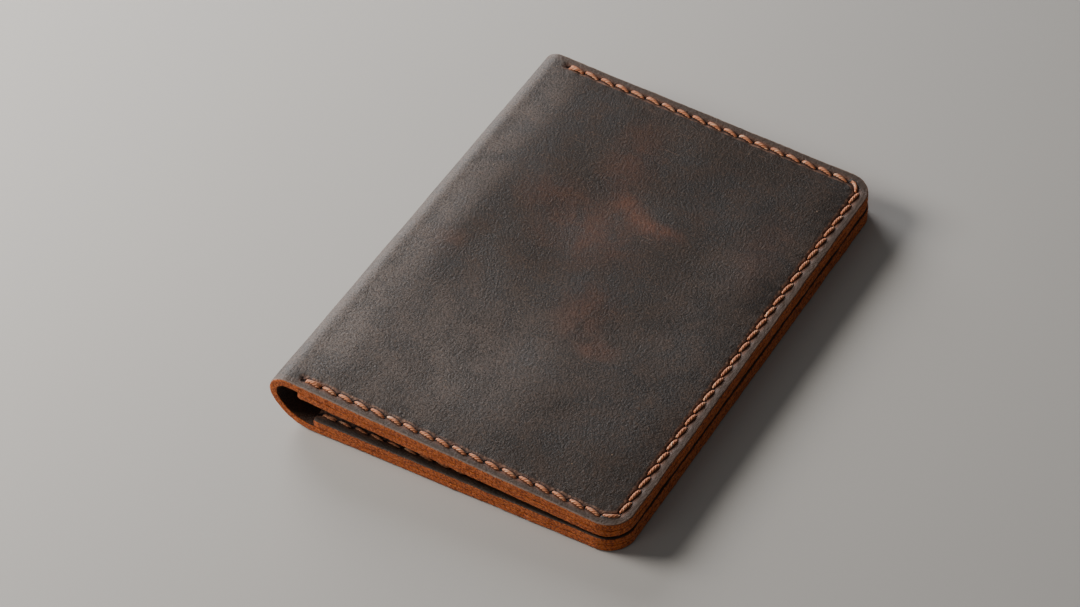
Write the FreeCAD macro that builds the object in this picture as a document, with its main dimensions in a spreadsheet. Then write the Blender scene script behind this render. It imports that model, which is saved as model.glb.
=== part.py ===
import FreeCAD, Part
import Sketcher
import math
import os
from FreeCAD import Placement, Rotation, Vector

# A passport holder wallet: one leather cover folded round a spine, a leather pocket sewn inside each
# half along three edges, and a small card pocket sewn on the front pocket.
# Millimetres. The wallet lies closed on its back cover: +Z up, +Y along the spine, +X from the fold to the
# open edges, origin in the middle of the footprint. The cover is one piece of leather that bends, so its
# fold is made as three narrow strips between the two halves, with a hinge line at each of the four gaps.

SIZES = {
    "closed_width": ("fold to open edge", 102),
    "cover_length": ("top edge to bottom edge, along the spine", 140),
    "leather": ("thickness of the cover", 2.3),
    "pocket_leather": ("thickness of a pocket panel", 2.3),
    "card_leather": ("thickness of the card pocket", 1.2),
    "nose_radius": ("outer radius of the tight part of the fold", 5.3),
    "nose_height": ("height of the fold's outermost line", 10.1),
    "foot_setback": ("fold's outermost line to where the back cover lifts off the surface", 12),
    "front_tilt": ("slope of the front cover, in degrees", 3.5),
    "cut_gap": ("gap left between two strips of the cover", 0.2),
    "corner_radius": ("round of a free corner", 7.5),
    "back_mouth": ("fold's outermost line to the mouth of the back pocket", 12.3),
    "front_mouth": ("fold's outermost line to the mouth of the front pocket", 8.2),
    "card_mouth": ("fold's outermost line to the mouth of the card pocket", 17),
    "card_depth": ("mouth to closed edge of the card pocket", 50),
    "card_length": ("length of the card pocket along the spine", 94),
    "card_corner": ("round of the card pocket's closed corners", 7),
    "seam_inset": ("edge to stitch line", 3.2),
    "seam_start": ("pocket mouth to first stitch hole", 0.9),
    "stitch_pitch": ("hole to hole", 4.75),
    "thread_width": ("waxed thread across", 0.9),
    "thread_height": ("thread from groove floor to its top", 0.8),
    "thread_proud": ("how far the thread stands out of the front cover", 0.3),
    "slit_length": ("stitch slit, long way", 1.3),
    "slit_width": ("stitch slit, short way", 0.6),
    "slit_slant": ("stitch slit against the seam, in degrees", 45),
}

doc = FreeCAD.newDocument("passport_wallet")
sizes = doc.addObject("Spreadsheet::Sheet", "sizes")
for row, (alias, (note, size)) in enumerate(SIZES.items(), start=1):
    sizes.set(f"A{row}", note)
    sizes.set(f"B{row}", str(size))
    sizes.setAlias(f"B{row}", alias)
doc.recompute()

# Lengths that follow from the driving sizes, written as expressions of the sheet.
NOSE_X = "(sizes.nose_radius - sizes.closed_width / 2)"
FOOT_X = "(sizes.foot_setback - sizes.closed_width / 2)"
OPEN_X = "(sizes.closed_width / 2)"
SWEEP_RADIUS = (
    "(((sizes.foot_setback - sizes.nose_radius)^2 + sizes.nose_height^2 - sizes.nose_radius^2)"
    " / (2 * (sizes.nose_height - sizes.nose_radius)))"
)
MEET_TURN = f"(atan2(sizes.foot_setback - sizes.nose_radius; {SWEEP_RADIUS} - sizes.nose_height) / 1 deg)"
NOSE_TURN = f"(180 + sizes.front_tilt - {MEET_TURN})"
FRONT_LENGTH = (
    "((sizes.closed_width - sizes.nose_radius - sizes.nose_radius * sin(sizes.front_tilt))"
    " / cos(sizes.front_tilt))"
)
FRONT_INNER = "(sizes.nose_radius - sizes.leather)"
CARD_OUTER = f"({FRONT_INNER} - sizes.pocket_leather)"

# How far the leather has turned up from lying flat at the four gaps between strips of the cover. The fold
# is a wide sweep and then a tight nose, and each opens at two gaps, a quarter of its turn from its ends.
GAP_TURNS = [
    f"({MEET_TURN} / 4)",
    f"({MEET_TURN} * 3 / 4)",
    f"({MEET_TURN} + {NOSE_TURN} / 4)",
    f"({MEET_TURN} + {NOSE_TURN} * 3 / 4)",
]


def number(expression):
    """The value of an expression of the sheet."""
    return float(sizes.evalExpression(expression))


def on_arc(centre_x, centre_z, radius, turn):
    """The point of an arc where the leather has turned that far up from lying flat, as two expressions."""
    return (f"{centre_x} - {radius} * sin({turn})", f"{centre_z} - {radius} * cos({turn})")


def half_gap(radius):
    """Half the gap between two strips, as a turn in degrees on an arc of that radius."""
    return f"(sizes.cut_gap / {radius} * 90 / pi)"


def bind(sketch, kind, place, expression):
    """Adds a dimension to a sketch and ties it to the sheet."""
    index = sketch.addConstraint(Sketcher.Constraint(kind, *place, number(expression)))
    sketch.setExpression(f"Constraints[{index}]", expression)


def draw_outline(sketch, corners, arcs):
    """Draws a closed outline. arcs maps the number of an edge to its centre, radius and sense of turn."""
    points = [Vector(number(x), number(z), 0) for x, z in corners]
    ends = []
    for edge, start in enumerate(points):
        finish = points[(edge + 1) % len(points)]
        if edge not in arcs:
            sketch.addGeometry(Part.LineSegment(start, finish))
            ends.append((1, 2))
            continue
        centre_x, centre_z, radius, turn = arcs[edge]
        centre = Vector(number(centre_x), number(centre_z), 0)
        pair = (start, finish) if turn > 0 else (finish, start)
        first, last = (math.atan2(p.y - centre.y, p.x - centre.x) for p in pair)
        circle = Part.Circle(centre, Vector(0, 0, 1), number(radius))
        sketch.addGeometry(Part.ArcOfCircle(circle, first, last + (2 * math.pi if last < first else 0)))
        bind(sketch, "Radius", (edge,), radius)
        ends.append((1, 2) if turn > 0 else (2, 1))
    for edge, (x, z) in enumerate(corners):
        before = edge - 1 if edge else len(corners) - 1
        sketch.addConstraint(Sketcher.Constraint("Coincident", before, ends[before][1], edge, ends[edge][0]))
        bind(sketch, "DistanceX", (-1, 1, edge, ends[edge][0]), x)
        bind(sketch, "DistanceY", (-1, 1, edge, ends[edge][0]), z)


def free_corner_edges(shape):
    """Names of the two short edges across the leather at the end furthest from the spine."""
    far = shape.BoundBox.XMax
    names = []
    for index, edge in enumerate(shape.Edges, start=1):
        box = edge.BoundBox
        if box.XMin > far - 0.01 and box.YLength < 0.01:
            names.append(f"Edge{index}")
    return names


def leather_piece(name, corners, arcs, length="sizes.cover_length", corner=None):
    """A piece of leather: its end outline, drawn across the spine, carried along the spine."""
    body = doc.addObject("PartDesign::Body", name)
    sketch = body.newObject("Sketcher::SketchObject", f"{name}_outline")
    plane = next(f for f in body.Origin.OriginFeatures if f.Role == "XZ_Plane")
    sketch.AttachmentSupport = [(plane, "")]
    sketch.MapMode = "FlatFace"
    draw_outline(sketch, corners, arcs)
    pad = body.newObject("PartDesign::Pad", f"{name}_pad")
    pad.Profile = sketch
    pad.SideType = "Symmetric"
    pad.setExpression("Length", length)
    doc.recompute()
    if corner:
        fillet = body.newObject("PartDesign::Fillet", f"{name}_corners")
        fillet.Base = (pad, free_corner_edges(pad.Shape))
        fillet.setExpression("Radius", corner)
        doc.recompute()
    return body


def bent_strip(name, outer, inner, start, finish):
    """A strip of the cover along one arc of the fold, from one turn to another."""
    return leather_piece(
        name,
        [
            on_arc(*outer, start),
            on_arc(*inner, start),
            on_arc(*inner, finish),
            on_arc(*outer, finish),
        ],
        {1: (*inner, -1), 3: (*outer, 1)},
    )


def slab(left, right, low, high):
    """Corners of a flat piece's end outline."""
    return [(left, low), (right, low), (right, high), (left, high)]


def seam_stations(first_x, edge_x, length, corner):
    """Hole centres, evenly spaced round three sides, each with the seam's direction in radians."""
    inset = number("sizes.seam_inset")
    bend = corner - inset
    leg = edge_x - inset - bend - first_x
    side = length - 2 * (inset + bend)
    quarter = bend * math.pi / 2
    total = 2 * leg + 2 * quarter + side
    count = round(total / number("sizes.stitch_pitch"))
    stations = []
    for step in range(count + 1):
        along = total * step / count
        mirrored = along > total / 2
        reach = total - along if mirrored else along
        if reach < leg:
            x, y, heading = first_x + reach, -length / 2 + inset, 0
        elif reach < leg + quarter:
            heading = (reach - leg) / bend
            x = first_x + leg + bend * math.sin(heading)
            y = -length / 2 + inset + bend * (1 - math.cos(heading))
        else:
            x, y, heading = edge_x - inset, -side / 2 + reach - leg - quarter, math.pi / 2
        stations.append((x, -y, math.pi - heading) if mirrored else (x, y, heading))
    return stations


def upright_box(x, y, heading, length, width, low, high):
    """A box centred on a point of the seam and turned to a heading."""
    box = Part.makeBox(length, width, high - low, Vector(-length / 2, -width / 2, 0))
    box.Placement = Placement(Vector(x, y, low), Rotation(Vector(0, 0, 1), math.degrees(heading)))
    return box


def stitches(stations, low, high):
    """One short bar of thread from each hole to the next, on one face of the leather."""
    bars = []
    for (x0, y0, _), (x1, y1, _) in zip(stations, stations[1:]):
        heading = math.atan2(y1 - y0, x1 - x0)
        length = math.hypot(x1 - x0, y1 - y0) - number("sizes.slit_width")
        bars.append(
            upright_box((x0 + x1) / 2, (y0 + y1) / 2, heading, length, number("sizes.thread_width"), low, high)
        )
    return bars


def slits(stations, low, high):
    """The slanted slits that a pricking iron leaves, one at each hole."""
    slant = math.radians(number("sizes.slit_slant"))
    size = (number("sizes.slit_length"), number("sizes.slit_width"))
    return [upright_box(x, y, heading + slant, *size, low, high) for x, y, heading in stations]


def sew(name, stations, low, high, low_proud=0.0, high_proud=0.0):
    """A seam through leather from low to high. Returns the thread and the room it needs in the leather."""
    depth = number("sizes.thread_height")
    bars = stitches(stations, low - low_proud, low - low_proud + depth)
    bars += stitches(stations, high + high_proud - depth, high + high_proud)
    posts = slits(stations, low - low_proud + depth / 2, high + high_proud - depth / 2)
    thread = doc.addObject("Part::Feature", name)
    thread.Shape = bars[0].multiFuse(bars[1:] + posts)
    room = doc.addObject("Part::Feature", f"{name}_room")
    open_slits = slits(stations, low - depth, high + depth)
    room.Shape = bars[0].multiFuse(bars[1:] + open_slits)
    return thread, room


def pierced(name, blank, rooms):
    """The piece with the stitch slits and thread grooves cut into it."""
    for count, room in enumerate(rooms, start=1):
        cut = doc.addObject("Part::Cut", name if count == len(rooms) else f"{name}_cut_{count}")
        cut.Base = blank
        cut.Tool = room
        cut.Refine = False
        blank = cut
    doc.recompute()
    return cut


# The cover's back half and the three strips of its fold. An arc is its centre and its radius.
sweep_outer = (FOOT_X, SWEEP_RADIUS, SWEEP_RADIUS)
sweep_inner = (FOOT_X, SWEEP_RADIUS, f"({SWEEP_RADIUS} - sizes.leather)")
nose_outer = (NOSE_X, "sizes.nose_height", "sizes.nose_radius")
nose_inner = (NOSE_X, "sizes.nose_height", FRONT_INNER)
sweep_gap = half_gap(SWEEP_RADIUS)
nose_gap = half_gap("sizes.nose_radius")

back_turn = f"({GAP_TURNS[0]} - {sweep_gap})"
back_blank = leather_piece(
    "back_cover_blank",
    [
        (FOOT_X, "0"),
        (OPEN_X, "0"),
        (OPEN_X, "sizes.leather"),
        (FOOT_X, "sizes.leather"),
        on_arc(*sweep_inner, back_turn),
        on_arc(*sweep_outer, back_turn),
    ],
    {3: (*sweep_inner, -1), 5: (*sweep_outer, 1)},
    corner="sizes.corner_radius",
)

spine_lower = bent_strip(
    "spine_lower",
    sweep_outer,
    sweep_inner,
    f"({GAP_TURNS[0]} + {sweep_gap})",
    f"({GAP_TURNS[1]} - {sweep_gap})",
)

middle_start = f"({GAP_TURNS[1]} + {sweep_gap})"
middle_finish = f"({GAP_TURNS[2]} - {nose_gap})"
spine_middle = leather_piece(
    "spine_middle",
    [
        on_arc(*sweep_outer, middle_start),
        on_arc(*sweep_inner, middle_start),
        on_arc(*nose_inner, MEET_TURN),
        on_arc(*nose_inner, middle_finish),
        on_arc(*nose_outer, middle_finish),
        on_arc(*nose_outer, MEET_TURN),
    ],
    {1: (*sweep_inner, -1), 2: (*nose_inner, -1), 4: (*nose_outer, 1), 5: (*sweep_outer, 1)},
)

spine_upper = bent_strip(
    "spine_upper",
    nose_outer,
    nose_inner,
    f"({GAP_TURNS[2]} + {nose_gap})",
    f"({GAP_TURNS[3]} - {nose_gap})",
)

# The front half is drawn square to its own axes, with the fold's centre line as origin, then tilted.
front_place = Placement(
    Vector(number(NOSE_X), 0, number("sizes.nose_height")),
    Rotation(Vector(0, 1, 0), number("sizes.front_tilt")),
)
front_turn = f"({GAP_TURNS[3]} + {nose_gap} - sizes.front_tilt)"
front_blank = leather_piece(
    "front_cover_blank",
    [
        on_arc("0", "0", "sizes.nose_radius", front_turn),
        on_arc("0", "0", FRONT_INNER, front_turn),
        ("0", FRONT_INNER),
        (FRONT_LENGTH, FRONT_INNER),
        (FRONT_LENGTH, "sizes.nose_radius"),
        ("0", "sizes.nose_radius"),
    ],
    {1: ("0", "0", FRONT_INNER, -1), 5: ("0", "0", "sizes.nose_radius", 1)},
    corner="sizes.corner_radius",
)

# The pockets, open towards the spine.
back_top = "(sizes.leather + sizes.pocket_leather)"
back_mouth_x = "(sizes.back_mouth - sizes.closed_width / 2)"
back_pocket_blank = leather_piece(
    "back_pocket_blank",
    slab(back_mouth_x, OPEN_X, "sizes.leather", back_top),
    {},
    corner="sizes.corner_radius",
)
front_mouth_x = "(sizes.front_mouth - sizes.nose_radius)"
front_pocket_blank = leather_piece(
    "front_pocket_blank",
    slab(front_mouth_x, FRONT_LENGTH, CARD_OUTER, FRONT_INNER),
    {},
    corner="sizes.corner_radius",
)
card_mouth_x = "(sizes.card_mouth - sizes.nose_radius)"
card_end_x = f"({card_mouth_x} + sizes.card_depth)"
card_blank = leather_piece(
    "card_pocket_blank",
    slab(card_mouth_x, card_end_x, f"({CARD_OUTER} - sizes.card_leather)", CARD_OUTER),
    {},
    length="sizes.card_length",
    corner="sizes.card_corner",
)

# The seams. Each runs from one end of a pocket's mouth round the three closed sides to the other end.
cover_length = number("sizes.cover_length")
corner_radius = number("sizes.corner_radius")
seam_start = number("sizes.seam_start")
back_thread, back_room = sew(
    "back_seam_thread",
    seam_stations(number(back_mouth_x) + seam_start, number(OPEN_X), cover_length, corner_radius),
    0,
    number(back_top),
)
front_thread, front_room = sew(
    "front_seam_thread",
    seam_stations(number(front_mouth_x) + seam_start, number(FRONT_LENGTH), cover_length, corner_radius),
    number(CARD_OUTER),
    number("sizes.nose_radius"),
    high_proud=number("sizes.thread_proud"),
)
card_thread, card_room = sew(
    "card_seam_thread",
    seam_stations(
        number(card_mouth_x) + seam_start,
        number(card_end_x),
        number("sizes.card_length"),
        number("sizes.card_corner"),
    ),
    number(CARD_OUTER) - number("sizes.card_leather"),
    number(FRONT_INNER),
)

parts = [
    pierced("back_cover", back_blank, [back_room]),
    pierced("back_pocket", back_pocket_blank, [back_room]),
    back_thread,
    spine_lower,
    spine_middle,
    spine_upper,
]
front_parts = [
    pierced("front_cover", front_blank, [front_room]),
    pierced("front_pocket", front_pocket_blank, [front_room, card_room]),
    pierced("card_pocket", card_blank, [card_room]),
    front_thread,
    card_thread,
]
for piece in front_parts:
    piece.Placement = front_place
parts += front_parts
doc.recompute()

for item in doc.Objects:
    if "Invalid" in item.State or "Error" in item.State:
        raise RuntimeError(f"{item.Name} failed: {item.State}")
for piece in parts:
    if piece.Shape.isNull() or not piece.Shape.isValid():
        raise RuntimeError(f"{piece.Label} has no valid shape")

os.makedirs("parts", exist_ok=True)
for piece in parts:
    piece.Shape.exportStep(f"parts/{piece.Label}.step")
    box = piece.Shape.BoundBox
    print(
        f"{piece.Label}: {len(piece.Shape.Solids)} solids, {piece.Shape.Volume:.1f} mm3,"
        f" x {box.XMin:.2f} {box.XMax:.2f}, y {box.YMin:.2f} {box.YMax:.2f}, z {box.ZMin:.2f} {box.ZMax:.2f}"
    )
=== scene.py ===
import math
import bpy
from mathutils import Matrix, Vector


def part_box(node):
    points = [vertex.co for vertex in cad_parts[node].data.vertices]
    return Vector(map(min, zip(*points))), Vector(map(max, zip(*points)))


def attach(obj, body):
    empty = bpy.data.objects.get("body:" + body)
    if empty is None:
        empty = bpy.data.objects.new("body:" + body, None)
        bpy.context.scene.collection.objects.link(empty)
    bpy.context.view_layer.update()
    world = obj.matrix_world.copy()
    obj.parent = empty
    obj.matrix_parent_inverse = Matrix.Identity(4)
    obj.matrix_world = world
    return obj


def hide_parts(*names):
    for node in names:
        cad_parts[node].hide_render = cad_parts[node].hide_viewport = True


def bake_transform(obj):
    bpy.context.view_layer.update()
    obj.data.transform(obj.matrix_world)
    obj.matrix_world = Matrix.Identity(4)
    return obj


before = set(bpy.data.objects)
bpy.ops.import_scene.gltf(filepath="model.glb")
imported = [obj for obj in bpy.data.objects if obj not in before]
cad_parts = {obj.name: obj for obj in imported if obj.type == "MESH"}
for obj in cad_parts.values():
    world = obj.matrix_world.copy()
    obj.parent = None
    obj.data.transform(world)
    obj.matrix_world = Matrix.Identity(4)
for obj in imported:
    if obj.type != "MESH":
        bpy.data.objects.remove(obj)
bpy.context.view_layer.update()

from types import SimpleNamespace

import bmesh
import bpy
import numpy as np
from mathutils import Matrix, Vector

# The looks of a passport holder wallet: the folded cover, three pockets and three hand-sewn seams.
# Lengths are millimetres in the wallet's own frame until a mesh is made, and metres from then on.

MM = 0.001


def box_mm(node):
    """Lowest and highest corner of a CAD node."""
    low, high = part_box(node)
    return np.array(low) / MM, np.array(high) / MM


LEATHER = 2.3
CARD_LEATHER = 1.2
NOSE_RADIUS = 5.3
NOSE_HEIGHT = 10.1
FOOT_SETBACK = 12.0
TILT = math.radians(3.5)
CORNER_RADIUS = 7.5

SEAM_INSET = 3.2
SEAM_START = 0.9
STITCH_PITCH = 4.75
SLIT_LEAN = math.radians(38)

# How far each pocket's mouth is from the spine.
FRONT_MOUTH_SETBACK = 8.2
CARD_MOUTH_SETBACK = 17.0

OPEN_X = box_mm("back_cover")[1][0]
HALF = box_mm("back_cover")[1][1]
SPINE_X = box_mm("spine_middle")[0][0]
WIDTH = OPEN_X - SPINE_X
NOSE_X = SPINE_X + NOSE_RADIUS
FOOT_X = SPINE_X + FOOT_SETBACK
SWEEP_RADIUS = ((FOOT_SETBACK - NOSE_RADIUS) ** 2 + NOSE_HEIGHT**2 - NOSE_RADIUS**2) / (
    2 * (NOSE_HEIGHT - NOSE_RADIUS)
)
SWEEP_TURN = math.atan2(FOOT_SETBACK - NOSE_RADIUS, SWEEP_RADIUS - NOSE_HEIGHT)
NOSE_TURN = math.pi + TILT - SWEEP_TURN
FRONT_LENGTH = (WIDTH - NOSE_RADIUS - NOSE_RADIUS * math.sin(TILT)) / math.cos(TILT)

# Distances along the cover's outer face, from the open edge of its back half.
FOOT_S = OPEN_X - FOOT_X
MEET_S = FOOT_S + SWEEP_RADIUS * SWEEP_TURN
FLAT_S = MEET_S + NOSE_RADIUS * NOSE_TURN
COVER_S = FLAT_S + FRONT_LENGTH

BACK_MOUTH_X = box_mm("back_pocket")[0][0]
BACK_TOP = box_mm("back_pocket")[1][2]
FRONT_MOUTH = FRONT_MOUTH_SETBACK - NOSE_RADIUS
CARD_MOUTH = CARD_MOUTH_SETBACK - NOSE_RADIUS
CARD_DEPTH = 50.0
CARD_FAR = CARD_MOUTH + CARD_DEPTH
CARD_HALF = box_mm("card_pocket")[1][1]
CARD_CORNER = 7.0


def smooth(value):
    """0 below 0, 1 above 1, and an even turn between them."""
    t = np.clip(value, 0.0, 1.0)
    return t * t * (3 - 2 * t)


def waves(x, y, wavelength, seed):
    """Smooth unevenness of about unit height."""
    rng = np.random.default_rng(seed)
    total = np.zeros(np.shape(x))
    for _ in range(8):
        heading, phase = rng.uniform(0, 2 * math.pi, 2)
        turn = 2 * math.pi / (wavelength * rng.uniform(0.7, 1.5))
        total += np.cos(turn * (x * math.cos(heading) + y * math.sin(heading)) + phase)
    return total / math.sqrt(8)


# ---------------------------------------------------------------- where the leather lies


def lay_cover(s, y, depth):
    """The folded cover: s along its outer face, depth into the leather."""
    turn = np.clip((s - FOOT_S) / SWEEP_RADIUS, 0, SWEEP_TURN)
    turn = turn + np.clip((s - MEET_S) / NOSE_RADIUS, 0, NOSE_TURN)
    nose = s >= MEET_S
    radius = np.where(nose, NOSE_RADIUS, SWEEP_RADIUS)
    x = np.where(nose, NOSE_X, FOOT_X) - radius * np.sin(turn)
    z = np.where(nose, NOSE_HEIGHT, SWEEP_RADIUS) - radius * np.cos(turn)
    run = np.maximum(s - FLAT_S, 0)
    x = x + np.maximum(FOOT_S - s, 0) + run * math.cos(TILT) + depth * np.sin(turn)
    z = z - run * math.sin(TILT) + depth * np.cos(turn)
    return np.stack([x, y, z], -1)


def lay_front(x, y, z):
    """The front half's own axes: x from the fold's centre line to the open edge, z out of the cover."""
    return np.stack(
        [
            NOSE_X + x * math.cos(TILT) + z * math.sin(TILT),
            y,
            NOSE_HEIGHT - x * math.sin(TILT) + z * math.cos(TILT),
        ],
        -1,
    )


def lay_back(x, y, z):
    """The back half lies square to the frame."""
    return np.stack([x, y, z], -1)


# ---------------------------------------------------------------- seams


class Seam:
    """A stitch line round three sides, from one end of a pocket's mouth to the other."""

    def __init__(self, first_x, edge_x, half, corner):
        self.first_x, self.half = first_x, half
        self.bend = corner - SEAM_INSET
        self.leg = edge_x - SEAM_INSET - self.bend - first_x
        self.side = 2 * (half - SEAM_INSET - self.bend)
        self.total = 2 * self.leg + self.bend * math.pi + self.side
        self.count = round(self.total / STITCH_PITCH)
        self.pitch = self.total / self.count

    def at(self, along):
        """Places and headings at distances along the seam."""
        mirrored = along > self.total / 2
        reach = np.where(mirrored, self.total - along, along)
        heading = np.clip((reach - self.leg) / self.bend, 0, math.pi / 2)
        on_leg = np.minimum(reach, self.leg)
        on_side = np.maximum(reach - self.leg - self.bend * math.pi / 2, 0)
        x = self.first_x + on_leg + self.bend * np.sin(heading)
        y = SEAM_INSET - self.half + self.bend * (1 - np.cos(heading)) + on_side
        return x, np.where(mirrored, -y, y), np.where(mirrored, math.pi - heading, heading)

    def near(self, x, y):
        """Hole number and distance inwards from the stitch line at any point, and 1 where the seam runs."""
        corner_x = self.first_x + self.leg
        right, beyond = x - corner_x, np.abs(y) - self.side / 2
        angle = np.arctan2(np.maximum(right, 0), np.maximum(beyond, 1e-9))
        beside_leg = self.bend - beyond
        beside_edge = self.bend - right
        in_corner = (right > 0) & (beyond > 0)
        on_leg = ~in_corner & (beside_leg < beside_edge)
        reach = np.where(on_leg, x - self.first_x, self.leg + self.bend * angle)
        on_edge = ~in_corner & ~on_leg
        reach = np.where(on_edge, self.total / 2 - np.abs(y), reach)
        across = np.where(on_leg, beside_leg, beside_edge)
        across = np.where(in_corner, self.bend - np.hypot(right, beyond), across)
        number = np.where(y > 0, self.total - reach, reach) / self.pitch
        runs = smooth((number + 0.45) / 0.3) * smooth((self.count + 0.45 - number) / 0.3)
        return number, across, runs


# ---------------------------------------------------------------- leather panels

# A panel's mesh is rings that follow its outline, round a plain grid. Insets are distances from the edge.
CORNER_SPAN = 7.5
INNER_INSET = 6.0
SQUARE_FROM = 4.5
CORNER_STEPS = 14
FACE_INSETS = [6, 5.3, 4.8, 4.4, 4.1, 3.85, 3.6, 3.4, 3.2, 3.0, 2.8, 2.55, 2.3, 2.0, 1.6, 1.2, 0.85]
FLESH_INSETS = [0.7, 1.5, 3.2, 6]
FLESH_RIM = 0.3

# The cut edge is drawn in a little, so that its waves and fibres stay inside the outline.
EDGE_INSET = 0.1
WANDER_REACH = 1.6
LONG_WAVE = (0.07, 17)
SHORT_WAVE = (0.04, 3.1)
FIBRE = 0.03
TUFT = 0.05
TUFT_SIZE = 1.6

FAR = 50.0
GROOVE_DEPTH = 0.38
GROOVE_WIDTH = 1.05
DIMPLE_DEPTH = 0.3
PUCKER_HEIGHT = 0.07


def lines_through(stops, step):
    """Evenly spaced values that pass through every stop."""
    lines = [stops[0]]
    for start, finish in zip(stops, stops[1:]):
        count = max(1, round((finish - start) / step))
        lines += list(np.linspace(start, finish, count + 1)[1:])
    return np.array(lines)


def corner_path(inset, radius):
    """Round a corner at an inset, as distance left to the corner and distance in from the side."""
    straight = CORNER_SPAN - inset - radius
    arc = radius * math.pi / 2
    run = np.linspace(0, 2 * straight + arc, CORNER_STEPS + 1)[1:-1]
    angle = np.clip((run - straight) / max(radius, 1e-6), 0, math.pi / 2)
    before = np.minimum(run, straight)
    after = np.maximum(run - straight - arc, 0)
    left = CORNER_SPAN - before - radius * np.sin(angle)
    left = np.where(run >= straight + arc, inset, left)
    aside = inset + radius * (1 - np.cos(angle)) + after
    return left, aside


def ring(length, half, radii, inset, u_lines, y_lines):
    """The panel's outline drawn in by an inset, anticlockwise from its near side."""
    fade = 1 - smooth((inset - SQUARE_FROM) / (INNER_INSET - SQUARE_FROM))
    (p0, q0), (p1, q1), (p2, q2), (p3, q3) = (
        corner_path(inset, max(radius - inset, 0) * fade) for radius in radii
    )
    u = [
        u_lines,
        length - p0,
        np.full(len(y_lines), length - inset),
        length - q1,
        u_lines[::-1],
        p2,
        np.full(len(y_lines), inset),
        q3,
    ]
    y = [
        np.full(len(u_lines), inset - half),
        q0 - half,
        y_lines,
        half - p1,
        np.full(len(u_lines), half - inset),
        half - q2,
        y_lines[::-1],
        p3 - half,
    ]
    return np.stack([np.concatenate(u), np.concatenate(y)], -1)


def edge_stations(thickness, rim):
    """Insets, depths and zones (0 grain, 1 cut edge, 2 flesh) from the face round the edge to the flesh."""
    stations = [(inset, 0.0, 0.0) for inset in FACE_INSETS]
    for angle in np.linspace(0, math.pi / 2, 6):
        zone = 0.9 * angle / (math.pi / 2)
        stations.append((rim * (1 - math.sin(angle)), rim * (1 - math.cos(angle)), zone))
    for depth in np.linspace(rim, thickness - FLESH_RIM, 6)[1:]:
        stations.append((0.0, depth, 1.0))
    for angle in np.linspace(0, math.pi / 2, 4)[1:]:
        zone = 1 + angle / (math.pi / 2)
        depth = thickness - FLESH_RIM * (1 - math.sin(angle))
        stations.append((FLESH_RIM * (1 - math.cos(angle)), depth, zone))
    stations += [(inset, thickness, 2.0) for inset in FLESH_INSETS]
    return np.array(stations).T


def seam_groove(number, across, on):
    """How far a seam pulls the leather in: an even groove, a dimple at each hole and puckers inside it."""
    beside = number - np.round(number)
    groove = GROOVE_DEPTH * np.exp(-((across / GROOVE_WIDTH) ** 2))
    dimple = DIMPLE_DEPTH * np.exp(-((across / 0.75) ** 2) - (beside * STITCH_PITCH / 0.8) ** 2)
    pucker = PUCKER_HEIGHT * np.exp(-(((across - 1.7) / 1.0) ** 2)) * np.cos(2 * math.pi * number)
    return -(groove + dimple + pucker) * on


def nearest_seam(seams, u, y):
    """What Seam.near says at each point, of the seam that is nearest to it."""
    number, across, on = np.zeros(len(u)), np.full(len(u), FAR), np.zeros(len(u))
    for seam, to_x in seams:
        this_number, this_across, this_on = seam.near(to_x(u), y)
        closer = np.abs(this_across) < np.abs(across)
        number = np.where(closer, this_number, number)
        across = np.where(closer, this_across, across)
        on = np.where(closer, this_on, on)
    return number, across, on


def wander_edge(rings, insets, inner_ring, seed):
    """Lets the cut edge wander a little, as a knife does."""
    outward = rings[-len(FLESH_INSETS) - 1] - inner_ring
    outward /= np.linalg.norm(outward, axis=1)[:, None]
    rim_points = rings[np.argmin(insets)]
    wander = LONG_WAVE[0] * waves(*rim_points.T, LONG_WAVE[1], seed + 1)
    wander = wander + SHORT_WAVE[0] * waves(*rim_points.T, SHORT_WAVE[1], seed + 2)
    near_edge = np.clip(1 - insets / WANDER_REACH, 0, 1)
    return rings + near_edge[:, None, None] * (wander - EDGE_INSET)[None, :, None] * outward


def fray_edge(u, y, d, zone, length, half, seed):
    """Roughens the cut edge with loose fibres. They only go in from the outline."""
    cut = np.exp(-(((zone - 1) / 0.35) ** 2))
    fibre = np.random.default_rng(seed + 3).normal(0, FIBRE, len(u)) * cut
    bumpy = TUFT * waves(u + d, y - d, TUFT_SIZE, seed + 4) * cut
    away = np.stack([u, y], -1) - np.array([length / 2, 0.0])
    on_side = np.abs(away[:, 1]) / half > np.abs(away[:, 0]) / (length / 2)
    u = u - np.where(on_side, 0, np.sign(away[:, 0]) * np.abs(fibre + bumpy) * cut)
    y = y - np.where(on_side, np.sign(away[:, 1]) * np.abs(fibre + bumpy) * cut, 0)
    return u, y


def grid_rim(nu, ny):
    """The cells round a grid's outside, in the order that a ring's points have."""
    loop = [(i, 0) for i in range(nu)] + [(nu - 1, j) for j in range(1, ny)]
    loop += [(i, ny - 1) for i in range(nu - 2, -1, -1)] + [(0, j) for j in range(ny - 2, 0, -1)]
    shift = CORNER_STEPS // 2
    return np.array(loop[shift:] + loop[:shift]).T


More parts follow.
